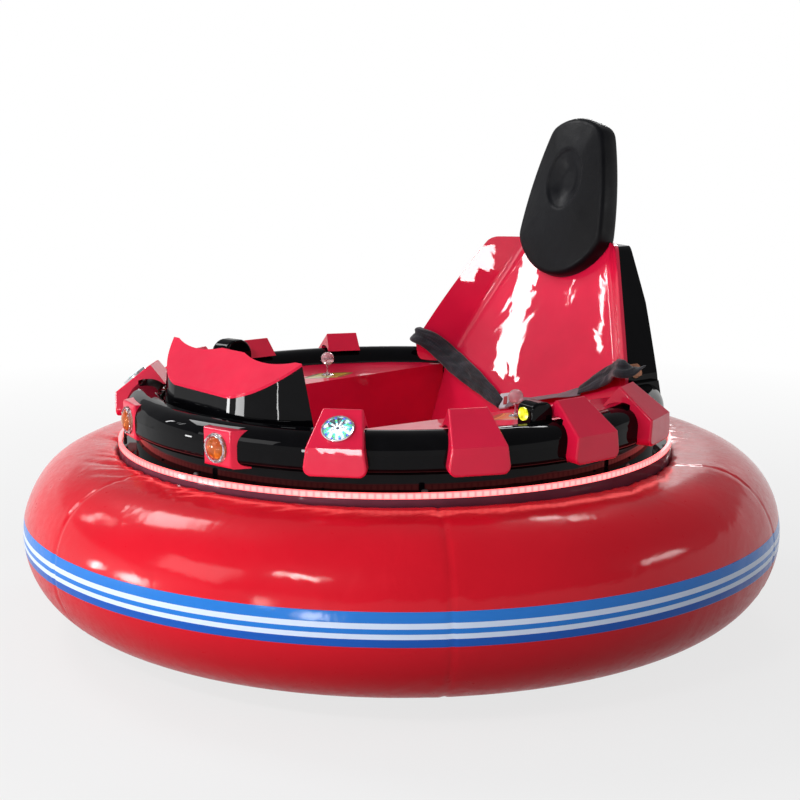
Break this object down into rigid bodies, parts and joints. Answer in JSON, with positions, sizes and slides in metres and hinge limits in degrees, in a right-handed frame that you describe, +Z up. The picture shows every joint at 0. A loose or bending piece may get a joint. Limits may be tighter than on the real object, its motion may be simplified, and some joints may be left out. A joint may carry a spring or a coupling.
{
  "type": "inflatable bumper car",
  "caption": "Round fairground bumper car for one rider: inflated bumper tube, joystick cockpit, high-backed seat, drive wheels and casters.",
  "frame": {"origin": "on the floor, under the middle of the bumper tube", "axes": "-Y is the front of the car, +X is the rider's left, +Z is up"},
  "size_m": [1.95, 1.9496, 1.2719],
  "materials": {
    "tube_fabric": "glossy coated fabric, red, with blue and white bands round its middle",
    "black_gloss": "gloss gel coat",
    "black_frp": "bare moulding",
    "black_plastic": "satin",
    "red_gloss": "gloss gel coat",
    "led_red": "clear sleeve over a row of red lamps",
    "light_lens": "clear dome over coloured lamps",
    "amber_lens": "amber dome in a clear rim",
    "yellow_lens": "yellow lens",
    "black_foam": "self-skinned foam, matte",
    "chrome": "polished",
    "clear_knob": "clear moulded ball",
    "belt_pad": "dark padded sleeve",
    "belt_webbing": "woven webbing",
    "buckle_plastic": "pale moulded buckle",
    "bronze_plate": "worn plated steel",
    "frame_steel": "black paint",
    "motor_metal": "cast and turned",
    "battery_case": "moulded case",
    "tyre": "moulded rubber",
    "wheel_rim": "machined",
    "zinc_steel": "zinc plated",
    "caster_tread": "grey tread"
  },
  "bodies": {
    "car_body": {"bumper_tube": "tube_fabric", "tube_valve": "black_plastic", "rim_flange": "black_gloss", "led_strip": "led_red", "lower_tub": "black_frp", "coaming_ring": "black_gloss", "left_lugs": "red_gloss", "right_lugs": "red_gloss", "lug_lights": "light_lens", "left_headlamp": "red_gloss", "right_headlamp": "red_gloss", "headlamp_lenses": "amber_lens", "left_side_lamp": "black_gloss", "right_side_lamp": "black_gloss", "side_lamp_lenses": "yellow_lens", "hood_base": "black_gloss", "hood_top": "red_gloss", "left_console": "red_gloss", "right_console": "red_gloss", "cockpit_floor": "red_gloss", "seat_pan": "red_gloss", "seat_back": "red_gloss", "seat_shell": "black_gloss", "headrest": "black_foam", "left_joystick": "chrome", "right_joystick": "chrome", "joystick_knobs": "clear_knob", "belt_sleeves": "belt_pad", "belt_webbing": "belt_webbing", "belt_buckle": "buckle_plastic", "belt_brackets": "bronze_plate", "frame_rails": "frame_steel", "frame_crossbars": "frame_steel", "left_drive_unit": "motor_metal", "right_drive_unit": "motor_metal", "battery": "battery_case", "charge_socket": "black_plastic", "front_caster_plate": "zinc_steel", "rear_caster_plate": "zinc_steel"},
    "left_drive_wheel": {"left_drive_tyre": "tyre", "left_drive_hub": "wheel_rim"},
    "right_drive_wheel": {"right_drive_tyre": "tyre", "right_drive_hub": "wheel_rim"},
    "front_caster_swivel": {"front_caster_fork": "zinc_steel"},
    "front_caster_roller": {"front_caster_wheel": "caster_tread"},
    "rear_caster_swivel": {"rear_caster_fork": "zinc_steel"},
    "rear_caster_roller": {"rear_caster_wheel": "caster_tread"}
  },
  "joints": [
    {"name": "left_wheel_spin", "type": "hinge", "parent": "car_body", "child": "left_drive_wheel", "pos_m": [0.44, 0, 0.125], "axis": [1, 0, 0], "continuous": true},
    {"name": "right_wheel_spin", "type": "hinge", "parent": "car_body", "child": "right_drive_wheel", "pos_m": [-0.44, 0, 0.125], "axis": [1, 0, 0], "continuous": true},
    {"name": "front_caster_turn", "type": "hinge", "parent": "car_body", "child": "front_caster_swivel", "pos_m": [0, -0.43, 0.14], "axis": [0, 0, 1], "continuous": true},
    {"name": "front_caster_spin", "type": "hinge", "parent": "front_caster_swivel", "child": "front_caster_roller", "pos_m": [0, -0.39, 0.0625], "axis": [1, 0, 0], "continuous": true},
    {"name": "rear_caster_turn", "type": "hinge", "parent": "car_body", "child": "rear_caster_swivel", "pos_m": [0, 0.43, 0.14], "axis": [0, 0, 1], "continuous": true},
    {"name": "rear_caster_spin", "type": "hinge", "parent": "rear_caster_swivel", "child": "rear_caster_roller", "pos_m": [0, 0.47, 0.0625], "axis": [1, 0, 0], "continuous": true}
  ]
}
